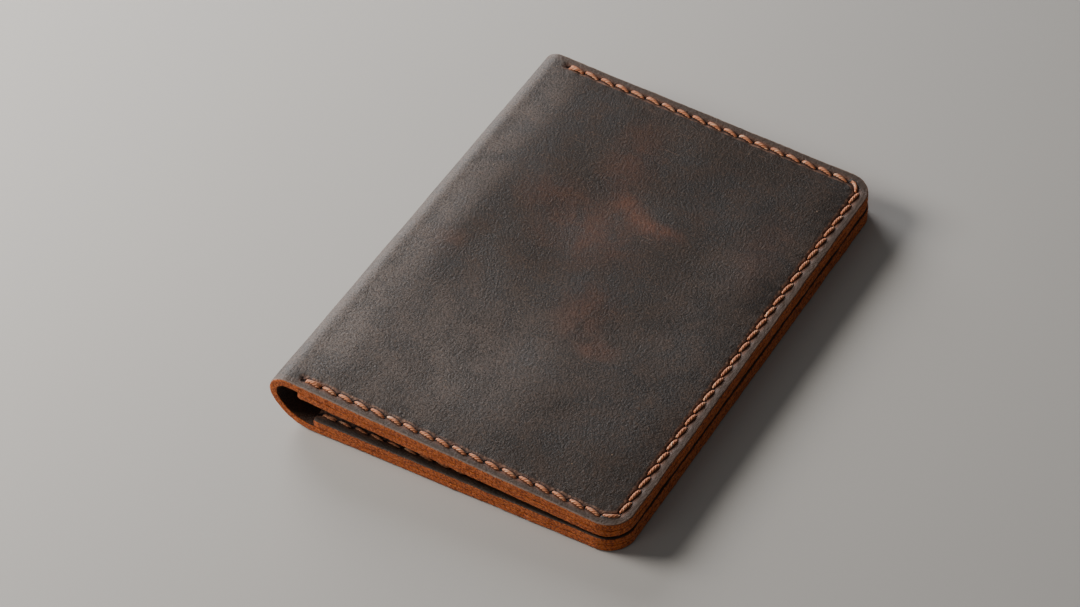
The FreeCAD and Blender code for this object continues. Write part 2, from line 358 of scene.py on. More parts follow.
def panel_faces(ring_count, ring_length, nu, ny):
    """Quads between the rings, then over the grid on the face and the one on the flesh side."""
    ids = np.arange(ring_count * ring_length).reshape(ring_count, ring_length)
    a, b = ids[:-1], np.roll(ids[:-1], -1, 1)
    c, e = np.roll(ids[1:], -1, 1), ids[1:]
    quads = [np.stack([a, e, c, b], -1).reshape(-1, 4)]
    inside = (nu - 2) * (ny - 2)
    rows, columns = grid_rim(nu, ny)
    for border, start, flip in ((ids[0], ids.size, False), (ids[-1], ids.size + inside, True)):
        grid = np.zeros((nu, ny), int)
        grid[1:-1, 1:-1] = start + np.arange(inside).reshape(nu - 2, ny - 2)
        grid[rows, columns] = border
        corners = [grid[:-1, :-1], grid[1:, :-1], grid[1:, 1:], grid[:-1, 1:]]
        if flip:
            corners.reverse()
        quads.append(np.stack(corners, -1).reshape(-1, 4))
    return np.concatenate(quads)


def build_panel(length, half, radii, thickness, place, seams, relief, step, stops=(), rim=0.55, seed=0):
    """A closed sheet of leather. Returns its points, faces and what its material needs."""
    u_lines = lines_through([CORNER_SPAN, *stops, length - CORNER_SPAN], step)
    y_lines = lines_through([CORNER_SPAN - half, half - CORNER_SPAN], step)
    insets, depths, zones = edge_stations(thickness, rim)
    rings = np.stack([ring(length, half, radii, inset, u_lines, y_lines) for inset in insets])
    count = rings.shape[1]
    rings = wander_edge(rings, insets, ring(length, half, radii, 1.0, u_lines, y_lines), seed)

    near_corner = np.linspace(INNER_INSET, CORNER_SPAN, CORNER_STEPS // 2 + 1)
    u_all = np.concatenate([near_corner, u_lines[1:-1], length - near_corner[::-1]])
    y_all = np.concatenate([near_corner - half, y_lines[1:-1], half - near_corner[::-1]])
    grid_u, grid_y = (g.ravel() for g in np.meshgrid(u_all[1:-1], y_all[1:-1], indexing="ij"))
    grid_edge = np.minimum(np.minimum(grid_u, length - grid_u), np.minimum(grid_y + half, half - grid_y))
    zeros = np.zeros(len(grid_u))

    def joined(ringed, face, flesh):
        return np.concatenate([ringed.ravel(), face, flesh])

    u = joined(rings[..., 0], grid_u, grid_u)
    y = joined(rings[..., 1], grid_y, grid_y)
    d = joined(np.repeat(depths, count), zeros, zeros + thickness)
    zone = joined(np.repeat(zones, count), zeros, zeros + 2)
    edge = joined(np.repeat(insets, count), grid_edge, grid_edge)
    number, across, on = nearest_seam(seams, u, y)
    lift = relief(u, y) + seam_groove(number, across, on)
    share = np.clip(1 - d / thickness, 0, 1)
    u, y = fray_edge(u, y, d, zone, length, half, seed)
    points = place(u, y, d - lift * share)
    notes = {
        "rest": np.stack([u, y, d], -1),
        "seam": np.stack([number, across, on], -1),
        "zone": np.stack([zone, edge, np.zeros(len(u))], -1),
    }
    return points, panel_faces(len(insets), count, len(u_all), len(y_all)), notes


def point_normals(points, faces):
    """Area-weighted normals of a mesh of quads."""
    corner = points[faces]
    normal = np.cross(corner[:, 2] - corner[:, 0], corner[:, 3] - corner[:, 1])
    total = np.zeros_like(points)
    for k in range(4):
        np.add.at(total, faces[:, k], normal)
    return total / np.maximum(np.linalg.norm(total, axis=1), 1e-12)[:, None]


def close_ends(mesh):
    """Fills each open end of a mesh with one face."""
    shape = bmesh.new()
    shape.from_mesh(mesh)
    rims = [edge for edge in shape.edges if edge.is_boundary]
    bmesh.ops.holes_fill(shape, edges=rims, sides=0)
    shape.to_mesh(mesh)
    shape.free()


def make_mesh(name, points, faces, notes, material, normals=None):
    """A Blender object from points in millimetres, with its notes stored as attributes."""
    mesh = bpy.data.meshes.new(name)
    mesh.from_pydata((points * MM).tolist(), [], faces.tolist())
    for note, values in notes.items():
        layer = mesh.attributes.new(note, "FLOAT_VECTOR", "POINT")
        layer.data.foreach_set("vector", values.astype(np.float32).ravel())
    close_ends(mesh)
    mesh.shade_smooth()
    if normals is not None:
        mesh.normals_split_custom_set_from_vertices(normals.tolist())
    mesh.materials.append(material)
    made = bpy.data.objects.new(name, mesh)
    bpy.context.scene.collection.objects.link(made)
    return made


def part_of(points, faces, notes, normals, chosen):
    """The chosen faces as a mesh of their own."""
    used = np.unique(faces[chosen])
    renumber = np.full(len(points), -1)
    renumber[used] = np.arange(len(used))
    return points[used], renumber[faces[chosen]], {k: v[used] for k, v in notes.items()}, normals[used]


# A stitch is a thread of three plies where it is seen close, and a plain thread where it is hidden.
STITCH_SWING = 0.42
DOUBLED_SWING = -0.35
DOUBLED_ASIDE = 0.12
PLY_RADIUS = 0.24
PLY_LAY = 2.7
PLY_SIZE = (0.56, 0.5)
THREAD_SIZE = (0.85, 0.7)
SUNK = 0.42


def swell(steps):
    """A stitch's thickness along its length: thin where it goes into its holes, fullest past its middle."""
    t = np.linspace(0, 1, steps)
    return 0.62 + 0.38 * np.sin(math.pi * t**1.2) ** 0.6


def sweep_tubes(paths, width, height, ups, sides):
    """Tubes along paths (tubes x steps x 3), with open ends. Returns points, faces and notes."""
    tubes, steps, _ = paths.shape
    tangent = np.gradient(paths, axis=1)
    tangent /= np.linalg.norm(tangent, axis=2, keepdims=True)
    across = np.cross(tangent, ups)
    across /= np.linalg.norm(across, axis=2, keepdims=True)
    upward = np.cross(across, tangent)
    angle = np.arange(sides) * 2 * math.pi / sides
    shape = swell(steps)[None, :, None, None]
    offset = (
        across[:, :, None] * np.cos(angle)[None, None, :, None] * width / 2
        + upward[:, :, None] * np.sin(angle)[None, None, :, None] * height / 2
    )
    points = (paths[:, :, None] + offset * shape).reshape(-1, 3)
    ids = np.arange(len(points)).reshape(tubes, steps, sides)
    a, b = ids[:, :-1], np.roll(ids[:, :-1], -1, 2)
    c, d = np.roll(ids[:, 1:], -1, 2), ids[:, 1:]
    faces = np.stack([a, b, c, d], -1).reshape(-1, 4)
    lengths = np.linalg.norm(np.diff(paths, axis=1), axis=2)
    run = np.concatenate([np.zeros((tubes, 1)), np.cumsum(lengths, 1)], 1)
    around = np.broadcast_to(angle / (2 * math.pi), (tubes, steps, sides))
    run = np.broadcast_to(run[:, :, None], (tubes, steps, sides))
    which = np.broadcast_to(np.arange(tubes)[:, None, None], (tubes, steps, sides))
    return points, faces, np.stack([run, around, which], -1).reshape(-1, 3)


def stitch_paths(seam, height, outward, starts, arch, swing, sideways=0.0):
    """Centre lines of the stitches on one side. outward is +1 on the upper side and -1 on the lower one."""
    t = np.linspace(0, 1, 25)
    rng = np.random.default_rng(len(starts) + int(100 * arch))
    starts = np.array(starts, float)[:, None]
    jitter = rng.normal(0, 0.05, (len(starts), 3))
    along = (starts + 0.08 + 0.86 * t[None]) * seam.pitch + jitter[:, :1]
    x, y, heading = seam.at(np.clip(along, 0, seam.total))
    slant = swing * (1 - 2 * t**0.8)[None] * (1 + jitter[:, 1:2] * 2) + sideways + jitter[:, 2:] * 0.6
    rise = arch * np.sin(math.pi * t**1.15) ** 0.55 - SUNK
    x = x - slant * np.sin(heading)
    y = y + slant * np.cos(heading)
    z = height + outward * (rise[None] + jitter[:, 1:2] * 0.4)
    return np.stack([x, y, z], -1)


def twist_plies(paths, outward):
    """Three plies wound round each centre line."""
    tangent = np.gradient(paths, axis=1)
    lengths = np.linalg.norm(np.diff(paths, axis=1), axis=2)
    run = np.concatenate([np.zeros((len(paths), 1)), np.cumsum(lengths, 1)], 1)
    tangent /= np.linalg.norm(tangent, axis=2, keepdims=True)
    up = np.array([0, 0, outward], float)
    across = np.cross(tangent, up)
    across /= np.linalg.norm(across, axis=2, keepdims=True)
    upward = np.cross(across, tangent)
    swollen = PLY_RADIUS * swell(paths.shape[1])[None, :, None]
    plies = []
    for ply in range(3):
        angle = (run / PLY_LAY + ply / 3 + np.arange(len(paths))[:, None] * 0.37) * 2 * math.pi
        plies.append(
            paths
            + swollen * (across * np.cos(angle)[..., None] + 0.8 * upward * np.sin(angle)[..., None])
        )
    return np.concatenate(plies)


def sew(name, seam, sides, body, place, material, doubled):
    """One thread: the stitches on every side that the seam shows on. doubled sews its two ends twice."""
    points, faces, notes, offset = [], [], [], 0
    for height, outward, arch, close in sides:
        paths = stitch_paths(seam, height, outward, range(seam.count), arch, STITCH_SWING)
        if doubled:
            ends = [0, seam.count - 1]
            again = stitch_paths(seam, height, outward, ends, arch, DOUBLED_SWING, DOUBLED_ASIDE)
            paths = np.concatenate([paths, again])
        up = np.array([0, 0, outward], float)
        if close:
            tubes = sweep_tubes(twist_plies(paths, outward), *PLY_SIZE, up, 8)
        else:
            tubes = sweep_tubes(paths, *THREAD_SIZE, up, 10)
        points.append(tubes[0])
        faces.append(tubes[1] + offset)
        notes.append(tubes[2])
        offset += len(tubes[0])
    placed = place(*np.concatenate(points).T)
    made = make_mesh(name, placed, np.concatenate(faces), {"strand": np.concatenate(notes)}, material)
    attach(made, body)
    return made


# ---------------------------------------------------------------- materials


class Graph:
    """Builds shader nodes. Every method takes sockets or numbers and gives a socket."""

    def __init__(self, name):
        self.material = bpy.data.materials.new(name)
        self.material.use_nodes = True
        self.tree = self.material.node_tree
        self.tree.nodes.clear()

    def node(self, kind, settings, inputs, output=0):
        made = self.tree.nodes.new(kind)
        for key, value in settings.items():
            setattr(made, key, value)
        for key, value in inputs.items():
            if isinstance(value, bpy.types.NodeSocket):
                self.tree.links.new(value, made.inputs[key])
            else:
                made.inputs[key].default_value = value
        return made.outputs[output] if made.outputs else None

    def attribute(self, name):
        return self.node("ShaderNodeAttribute", {"attribute_name": name}, {}, "Vector")

    def split(self, vector):
        made = self.tree.nodes.new("ShaderNodeSeparateXYZ")
        self.tree.links.new(vector, made.inputs[0])
        return made.outputs

    def math(self, operation, a, b=0.0, c=0.0):
        return self.node("ShaderNodeMath", {"operation": operation}, {0: a, 1: b, 2: c})

    def ramp(self, value, low, high, out_low=0.0, out_high=1.0):
        settings = {"interpolation_type": "SMOOTHSTEP", "clamp": True}
        inputs = {0: value, 1: low, 2: high, 3: out_low, 4: out_high}
        return self.node("ShaderNodeMapRange", settings, inputs)

    def choose(self, share, a, b):
        """A number between a and b."""
        return self.node("ShaderNodeMix", {"data_type": "FLOAT"}, {0: share, 2: a, 3: b})

    def mix(self, share, a, b):
        """A colour between a and b."""
        settings = {"data_type": "RGBA", "blend_type": "MIX", "clamp_factor": True}
        a, b = (v if isinstance(v, bpy.types.NodeSocket) else (*v, 1.0) for v in (a, b))
        return self.node("ShaderNodeMix", settings, {0: share, 6: a, 7: b}, 2)

    def place(self, vector, rotation=(0, 0, 0), scale=(1, 1, 1)):
        inputs = {"Vector": vector, "Rotation": rotation, "Scale": scale}
        return self.node("ShaderNodeMapping", {"vector_type": "POINT"}, inputs)

    def noise(self, vector, size, detail=2.0, rough=0.5, warp=0.0):
        inputs = {
            "Vector": vector,
            "Scale": 1 / size,
            "Detail": detail,
            "Roughness": rough,
            "Distortion": warp,
        }
        return self.node("ShaderNodeTexNoise", {"noise_dimensions": "3D"}, inputs)

    def cells(self, vector, size, feature="F1"):
        settings = {"voronoi_dimensions": "3D", "feature": feature}
        inputs = {"Vector": vector, "Scale": 1 / size}
        return self.node("ShaderNodeTexVoronoi", settings, inputs, "Distance")

    def vector(self, operation, *inputs, output=0):
        settings = {"operation": operation}
        return self.node("ShaderNodeVectorMath", settings, dict(enumerate(inputs)), output)

    def blob(self, vector, centre, radii, angle=0.0):
        """1 at a point of the sheet and 0 beyond the radii round it."""
        moved = self.vector("SUBTRACT", vector, (*centre, 0))
        turned = self.place(moved, rotation=(0, 0, -math.radians(angle)))
        scaled = self.vector("MULTIPLY", turned, (1 / radii[0], 1 / radii[1], 0))
        return self.ramp(self.vector("LENGTH", scaled, output="Value"), 1.0, 0.0)

    def blobs(self, vector, places):
        """The sum of weighted blobs."""
        total = 0.0
        for centre, radii, angle, weight in places:
            total = self.math("MULTIPLY_ADD", self.blob(vector, centre, radii, angle), weight, total)
        return total

    def bump(self, height, strength, distance):
        inputs = {"Height": height, "Strength": strength, "Distance": distance}
        return self.node("ShaderNodeBump", {}, inputs)

    def finish(self, **inputs):
        named = {key.replace("_", " "): value for key, value in inputs.items()}
        shader = self.node("ShaderNodeBsdfPrincipled", {}, named)
        self.node("ShaderNodeOutputMaterial", {"target": "ALL"}, {"Surface": shader})
        return self.material


# Linear colours of the leather's grain, from the dye to where it is worn through.
DARK = (0.0215, 0.0145, 0.0112)
COOL = (0.023, 0.0195, 0.019)
WARM = (0.04, 0.022, 0.014)
RED = (0.1, 0.036, 0.019)
# WAX_BLOOM_AND_SHEEN is partly the pale of pull-up bloom over the fold and partly a painted sheen where the
# window's reflection falls.
WAX_BLOOM_AND_SHEEN = (0.135, 0.113, 0.103)
PORE = (0.009, 0.007, 0.0065)
FINE_PALE = (0.09, 0.056, 0.038)
FINE_DARK = (0.009, 0.0065, 0.006)
SPECKLE = (0.095, 0.056, 0.037)
SCRATCH = (0.14, 0.078, 0.048)
FLECK = (0.3, 0.2, 0.13)
HALO = (0.17, 0.07, 0.042)
LIP = (0.34, 0.19, 0.125)
MARGIN = (0.1, 0.066, 0.05)
# RUBBED_EDGE_AND_HIGHLIGHT is partly rubbed wear and partly a painted highlight on the rim.
RUBBED_EDGE_AND_HIGHLIGHT = (0.26, 0.18, 0.14)
# SLIT is the dark of the stitch holes, partly painted shadow, and the painted shadow in the grooves beside
# the stitches.
SLIT = (0.012, 0.0035, 0.003)

# And of its raw edge and flesh side.
RUST = (0.6, 0.138, 0.024)
RUST_DARK = (0.24, 0.045, 0.011)
RUST_PALE = (0.8, 0.3, 0.09)
RUST_BROWN = (0.24, 0.05, 0.014)
# The suede colours are set dark so that they stand in for the shade inside the fold: painted shade over the
# flesh side's brown.
SUEDE = (0.07, 0.034, 0.02)
SUEDE_DARK = (0.04, 0.02, 0.013)
SUEDE_PALE = (0.12, 0.06, 0.035)


def leather_textures(g):
    """The textures that a leather's looks are made of, in millimetres on the flat sheet.

    In the functions below, g is the material's graph and t is what this gives.
    """
    rest = g.attribute("rest")
    seam = g.split(g.attribute("seam"))
    zone = g.split(g.attribute("zone"))
    return SimpleNamespace(
        rest=rest,
        hole_number=seam[0],
        across=seam[1],
        on_seam=seam[2],
        zone=zone[0],
        edge=zone[1],
        broad=g.noise(rest, 26.0, 3.0, 0.55, 0.4),
        cloud=g.noise(rest, 7.0, 4.0, 0.6, 0.3),
        fleck=g.noise(rest, 1.1, 3.0, 0.65),
        fine=g.noise(rest, 0.42, 2.0, 0.6),
        pore=g.cells(rest, 0.55, "SMOOTH_F1"),
        crease=g.ramp(g.cells(rest, 0.8, "DISTANCE_TO_EDGE"), 0.0, 0.25),
    )


def worn_grain(g, t, patina, bloom_and_sheen):
    """Cool dark wax, warmer where it has been rubbed and bent, pale where the wax has bloomed over the
    fold, and with a painted sheen from the fold towards the near end.
    """
    colour = g.mix(g.ramp(t.broad, 0.38, 0.62), COOL, DARK)
    colour = g.mix(g.ramp(t.cloud, 0.36, 0.74, 0.0, 0.75), colour, WARM)
    rubbed = g.math("MULTIPLY", g.blobs(t.rest, patina), g.ramp(t.cloud, 0.28, 0.66, 0.25, 1.25))
    rubbed = g.math("MULTIPLY", rubbed, g.ramp(t.fleck, 0.25, 0.75, 0.6, 1.25))
    colour = g.mix(g.math("MINIMUM", rubbed, 1.0), colour, RED)
    # Pale bloom over the bent fold, and a painted sheen that stands in for the window's reflection towards
    # the near end.
    bloom_and_sheen_share = g.math("MULTIPLY", g.blobs(t.rest, bloom_and_sheen), g.ramp(t.cloud, 0.3, 0.7, 0.45, 1.25))
    bloom_and_sheen_share = g.math("MULTIPLY", bloom_and_sheen_share, g.ramp(t.fine, 0.35, 0.65, 0.35, 1.35))
    bloom_and_sheen_share = g.math("MULTIPLY", bloom_and_sheen_share, g.ramp(t.fleck, 0.3, 0.7, 0.55, 1.35))
    colour = g.mix(g.math("MINIMUM", bloom_and_sheen_share, 1.0), colour, WAX_BLOOM_AND_SHEEN)
    speckle = g.math("MULTIPLY", g.ramp(t.fleck, 0.52, 0.74), g.ramp(t.cloud, 0.35, 0.6, 0.25, 0.8))
    colour = g.mix(speckle, colour, SPECKLE)
    colour = g.mix(g.ramp(t.pore, 0.34, 0.12, 0.0, 0.45), colour, PORE)
    colour = g.mix(g.ramp(t.fine, 0.52, 0.7, 0.0, 0.7), colour, FINE_PALE)
    return g.mix(g.ramp(t.fine, 0.47, 0.3, 0.0, 0.75), colour, FINE_DARK)


def scratches(g, t):
    """Hairlines in three directions, each by its angle, reach and how rare it is."""
    scratched = 0.0
    for angle, reach, low in ((28, 9.0, 0.735), (-57, 12.0, 0.74), (80, 7.0, 0.745)):
        drawn = g.place(t.rest, rotation=(0, 0, math.radians(angle)), scale=(1 / reach, 1 / 0.28, 0.4))
        line = g.ramp(g.noise(drawn, 1.0, 1.0, 0.4), low, low + 0.05)
        scratched = g.math("MAXIMUM", line, scratched)
    return g.math("MULTIPLY", scratched, g.ramp(t.broad, 0.4, 0.62, 0.0, 0.6))


def beside_seam(g, t, colour, rubbed_edge_and_highlight):
    """Rust beside the stitches, a pale lip inside them, and a rubbed margin that is palest at the edge,
    where the pale line is partly wear and partly a painted highlight on the rounded grain edge.
    """
    beside = g.math("ABSOLUTE", t.across)
    halo = g.math("MULTIPLY", g.ramp(beside, 1.9, 0.6), g.ramp(t.cloud, 0.35, 0.65, 0.25, 0.8))
    colour = g.mix(g.math("MULTIPLY", halo, t.on_seam), colour, HALO)
    lip = g.ramp(g.math("ABSOLUTE", g.math("SUBTRACT", t.across, 1.15)), 0.5, 0.1)
    lip = g.math("MULTIPLY", lip, g.ramp(t.fleck, 0.4, 0.7, 0.0, 0.7))
    colour = g.mix(g.math("MULTIPLY", lip, t.on_seam), colour, LIP)
    colour = g.mix(g.ramp(t.edge, 2.7, 1.7, 0.0, 0.65 * rubbed_edge_and_highlight), colour, MARGIN)
    # The pale line at the edge is partly rubbed wear and partly a painted highlight where the rounded rim
    # catches the light.
    pale = g.ramp(t.edge, 0.75, 0.3, 0.0, rubbed_edge_and_highlight)
    pale = g.math("MULTIPLY", pale, g.ramp(t.cloud, 0.3, 0.6, 0.35, 1.0))
    return g.mix(pale, colour, RUBBED_EDGE_AND_HIGHLIGHT)


def slits(g, t):
    """1 in the slanted slit at each stitch hole, where the hole's dark is partly painted shadow, and in the
    shut groove on each stitch's inner side, where it is painted shadow.
    """
    share = g.math("FRACT", t.hole_number)
    from_hole = g.math("SUBTRACT", g.math("FRACT", g.math("ADD", t.hole_number, 0.5)), 0.5)
    from_hole = g.math("MULTIPLY", from_hole, STITCH_PITCH)
    cosine, sine = math.cos(SLIT_LEAN), math.sin(SLIT_LEAN)
    lengthways = g.math("ADD", g.math("MULTIPLY", from_hole, cosine), g.math("MULTIPLY", t.across, sine))
    sideways = g.math("SUBTRACT", g.math("MULTIPLY", t.across, cosine), g.math("MULTIPLY", from_hole, sine))
    slit = g.math(
        "MULTIPLY",
        g.ramp(g.math("ABSOLUTE", lengthways), 1.3, 0.8),
        g.ramp(g.math("ABSOLUTE", sideways), 0.62, 0.34),
    )
    # The groove's dark line is a painted shadow of the stitch on the groove's inner wall.
    groove_line = g.math("MULTIPLY_ADD", share, 0.8, g.math("SUBTRACT", t.across, 1.05))
    groove = g.math(
        "MULTIPLY",
        g.ramp(g.math("ABSOLUTE", groove_line), 0.42, 0.2),
        g.math("MULTIPLY", g.ramp(share, 0.08, 0.22), g.ramp(share, 0.95, 0.8)),
    )
    return g.math("MULTIPLY", g.math("MAXIMUM", slit, g.math("MULTIPLY", groove, 0.7)), t.on_seam)


def fibre_clumps(g, t):
    """The matted fibres of the raw edge and the flesh side."""
    tangle = g.noise(t.rest, 0.42, 4.0, 0.65, 0.9)
    settings = {"noise_dimensions": "3D"}
    drift = g.node("ShaderNodeTexNoise", settings, {"Vector": t.rest, "Scale": 1.4}, "Color")
    shifted = g.vector("MULTIPLY_ADD", drift, (0.7, 0.7, 0.7), t.rest)
    tuft = g.cells(shifted, 0.52, "SMOOTH_F1")
    return g.math("MULTIPLY_ADD", tangle, 0.7, g.ramp(tuft, 0.75, 0.1, 0.0, 0.3))


def leather(name, patina, bloom_and_sheen, rubbed_edge_and_highlight):
    """Waxed leather: dark worn grain, raw rust-coloured cut edges and a suede flesh side."""
    g = Graph(name)
    t = leather_textures(g)
    colour = worn_grain(g, t, patina, bloom_and_sheen)
    scratched = scratches(g, t)
    colour = g.mix(scratched, colour, SCRATCH)
    lone = g.cells(t.rest, 8.5)
    colour = g.mix(g.ramp(lone, 0.03, 0.012, 0.0, 0.7), colour, FLECK)
    colour = beside_seam(g, t, colour, rubbed_edge_and_highlight)
    slit = slits(g, t)
    # The stitch holes are darkened, partly as painted shadow, and the grooves beside the stitches get a
    # painted shadow.
    colour = g.mix(slit, colour, SLIT)

    # The dark dye is only skin deep, so the cut edge is rust-coloured right up to the grain.
    clump = fibre_clumps(g, t)
    # RUST_DARK is painted shade in the crevices between the fibre clumps and RUST_PALE a painted highlight
    # on their tops, both over the fibres' own uneven colour.
    cut = g.mix(g.ramp(clump, 0.54, 0.33, 0.0, 0.95), RUST, RUST_DARK)
    cut = g.mix(g.ramp(clump, 0.54, 0.72, 0.0, 0.6), cut, RUST_PALE)
    cut = g.mix(g.ramp(t.cloud, 0.5, 0.8, 0.0, 0.45), cut, RUST_BROWN)
    flesh = g.mix(g.ramp(t.cloud, 0.3, 0.7), SUEDE, SUEDE_DARK)
    flesh = g.mix(g.ramp(clump, 0.45, 0.8, 0.0, 0.5), flesh, SUEDE_PALE)
    ragged = g.math("MULTIPLY_ADD", g.math("SUBTRACT", clump, 0.5), 0.35, t.zone)
    on_cut = g.ramp(ragged, 0.3, 0.62)
    colour = g.mix(on_cut, colour, cut)
    colour = g.mix(g.ramp(ragged, 1.55, 1.95), colour, flesh)

    grain = g.math("MULTIPLY_ADD", t.pore, 0.5, g.math("MULTIPLY", t.fleck, 0.9))
    grain = g.math("MULTIPLY_ADD", t.crease, 0.12, g.math("MULTIPLY_ADD", t.fine, 0.6, grain))
    grain = g.math("SUBTRACT", grain, g.math("MULTIPLY", g.math("ADD", scratched, slit), 0.8))
    fibres = g.math("MULTIPLY_ADD", g.noise(t.rest, 0.25, 3.0, 0.7), 0.5, clump)
    height = g.choose(on_cut, g.math("MULTIPLY", grain, 0.16), g.math("MULTIPLY", fibres, 0.6))
    gloss = g.math("ADD", g.ramp(t.cloud, 0.3, 0.7, 0.5, 0.64), g.math("MULTIPLY", t.fleck, 0.12))
    return g.finish(
        Base_Color=colour,
        Roughness=g.choose(on_cut, gloss, 0.92),
        Specular_IOR_Level=g.ramp(on_cut, 0.0, 1.0, 0.34, 0.12),
        Sheen_Weight=g.ramp(on_cut, 0.0, 1.0, 0.0, 0.12),
        Sheen_Roughness=0.5,
        Normal=g.bump(height, 1.0, MM),
    )


THREAD_DARK = (0.37, 0.11, 0.042)
THREAD_COPPER = (0.66, 0.27, 0.125)
THREAD_WORN = (0.85, 0.56, 0.36)
THREAD_SOILED = (0.22, 0.06, 0.03)


def thread():
    """Waxed copper-brown thread: fibres along each ply, paler where the wax is worn."""
    g = Graph("waxed_thread")
    strand = g.attribute("strand")
    fibre = g.noise(g.place(strand, scale=(0.8, 14.0, 3.1)), 1.0, 3.0, 0.6)
    patch = g.noise(g.place(strand, scale=(0.35, 0.6, 1.7)), 1.0, 2.0)
    colour = g.mix(g.ramp(fibre, 0.3, 0.7), THREAD_DARK, THREAD_COPPER)
    colour = g.mix(g.ramp(patch, 0.5, 0.78, 0.0, 0.75), colour, THREAD_WORN)
    colour = g.mix(g.ramp(patch, 0.4, 0.15, 0.0, 0.5), colour, THREAD_SOILED)
    return g.finish(
        Base_Color=colour,
        Roughness=g.ramp(fibre, 0.2, 0.8, 0.5, 0.7),
        Specular_IOR_Level=0.35,
        Sheen_Weight=0.15,
        Normal=g.bump(fibre, 0.6, 0.06 * MM),
    )


def plain(name, colour, roughness):
    """A plain matt surface with faint unevenness."""
    g = Graph(name)
    where = g.node("ShaderNodeNewGeometry", {}, {}, "Position")
    cloud = g.noise(where, 0.35, 3.0)
    tone = g.mix(g.ramp(cloud, 0.3, 0.7, 0.0, 0.25), colour, tuple(0.88 * c for c in colour))
    return g.finish(Base_Color=tone, Roughness=roughness, Specular_IOR_Level=0.2)


# ---------------------------------------------------------------- the wallet


def seam_shelter(along_from_edge, y, half):
    """0 on the stitch lines of three sides and in the margin outside them, and 1 well inside."""
    inwards = np.maximum(along_from_edge - SEAM_INSET, 0)
    beside = np.maximum(half - np.abs(y) - SEAM_INSET, 0)
    return (1 - np.exp(-((inwards / 6.5) ** 2))) * (1 - np.exp(-((beside / 6.5) ** 2)))


def front_relief(x, y):
    """How far the front cover's outer face stands out, in its own axes."""
    shelter = seam_shelter(FRONT_LENGTH - x, y, HALF) * smooth((x + 1) / 12)
    return shelter * (0.42 + 0.2 * waves(x, y, 46, 5) + 0.09 * waves(x, y, 19, 6)) - 0.02


def back_relief(x, y):
    """The back cover lies on its outer face, so its unevenness only goes in."""
    return -0.03 - 0.06 * (1 + np.tanh(waves(x, y, 40, 7)))


def cover_relief(s, y):
    """The folded cover's unevenness, in distances along its outer face."""
    front = smooth((s - FLAT_S + 4) / 8)
    back = smooth((FOOT_S + 4 - s) / 8)
    fold = (1 - front) * (1 - back) * 0.05 * waves(s, y, 22, 8)
    return front * front_relief(s - FLAT_S, y) + back * back_relief(OPEN_X - s, y) + fold


def pocket_relief(u, y):
    """A pocket is nearly flat."""
    return 0.03 * waves(u, y, 30, 9) - 0.05


# Rubbed patches, and bloom with painted sheen, on the flat cover: centre, radii, angle and strength.
PATINA = [
    ((FLAT_S + 37, 42), (11, 30), 8, 0.42),
    ((FLAT_S + 46, 27), (18, 5.5), -32, 0.8),
    ((FLAT_S + 56, 24), (9, 4.5), 8, 0.95),
    ((FLAT_S + 39, 14), (22, 17), 0, 0.5),
    ((FLAT_S + 24, 22), (14, 9), 20, 0.42),
    ((FLAT_S + 62, -21), (8, 5.5), 20, 1.0),
    ((FLAT_S + 53, -12), (12, 15), 0, 0.6),
    ((FLAT_S + 8, -6), (9, 8), 0, 0.4),
    ((FLAT_S + 82, 30), (10, 24), 0, 0.28),
    ((30, 10), (24, 40), 20, 0.5),
]

# Pale patches: over the fold, where the leather pales as it bends, and a painted sheen from the fold
# towards the near end of the front cover.
BLOOM_AND_SHEEN = [
    ((FLAT_S - 2, 10), (17, 190), 0, 0.95),
    ((FLAT_S + 20, -48), (64, 50), 0, 0.5),
    ((FLAT_S + 44, -34), (52, 40), 30, 0.22),
    ((FLAT_S + 82, 0), (28, 75), 0, 0.22),
]

back_seam = Seam(BACK_MOUTH_X + SEAM_START, OPEN_X, HALF, CORNER_RADIUS)
front_seam = Seam(FRONT_MOUTH + SEAM_START, FRONT_LENGTH, HALF, CORNER_RADIUS)
card_seam = Seam(CARD_MOUTH + SEAM_START, CARD_FAR, CARD_HALF, CARD_CORNER)

POCKET_PATINA = [((45, 5), (30, 45), 0, 0.4)]
POCKET_BLOOM = [((20, -20), (40, 60), 0, 0.15)]
CARD_PATINA = [((25, 0), (25, 30), 0, 0.45)]
CARD_BLOOM = [((10, 20), (20, 40), 0, 0.15)]
cover_leather = leather("cover_leather", PATINA, BLOOM_AND_SHEEN, 0.75)
pocket_leather = leather("pocket_leather", POCKET_PATINA, POCKET_BLOOM, 0.15)
card_leather = leather("card_leather", CARD_PATINA, CARD_BLOOM, 0.3)
waxed_thread = thread()

COVER_STEP = 0.68
POCKET_STEP = 0.9
COVER_SEED = 20
POCKET_SEEDS = (40, 50, 60)
MOUTH_CORNER = 0.8

# Pockets are a hair thinner than their leather, so they stay clear of what they lie on.
POCKET_THIN = 0.99
CARD_THIN = 0.98

# The cover is one sheet. It is cut into strips of the fold at these borders.
BORDERS = [
    FOOT_S + SWEEP_RADIUS * SWEEP_TURN / 2,
    MEET_S,
    MEET_S + NOSE_RADIUS * NOSE_TURN / 2,
]
STRIPS = [
    ("cover_back", "back", "spine_1", ("back_cover",)),
    ("cover_fold_lower", "spine_1", "spine_2", ("spine_lower",)),
    ("cover_fold_upper", "spine_2", "spine_3", ("spine_middle",)),
    ("cover_front", "spine_3", "front", ("spine_upper", "front_cover")),
]
BEYOND = 1e3
ROUND = (CORNER_RADIUS,) * 4
points, faces, notes = build_panel(
    COVER_S,
    HALF,
    ROUND,
    LEATHER,
    lay_cover,
    [(front_seam, lambda s: s - FLAT_S), (back_seam, lambda s: OPEN_X - s)],
    cover_relief,
    COVER_STEP,
    BORDERS,
    seed=COVER_SEED,
)
normals = point_normals(points, faces)
middles = notes["rest"][faces][:, :, 0].mean(1)
limits = [-BEYOND, *BORDERS, BEYOND]
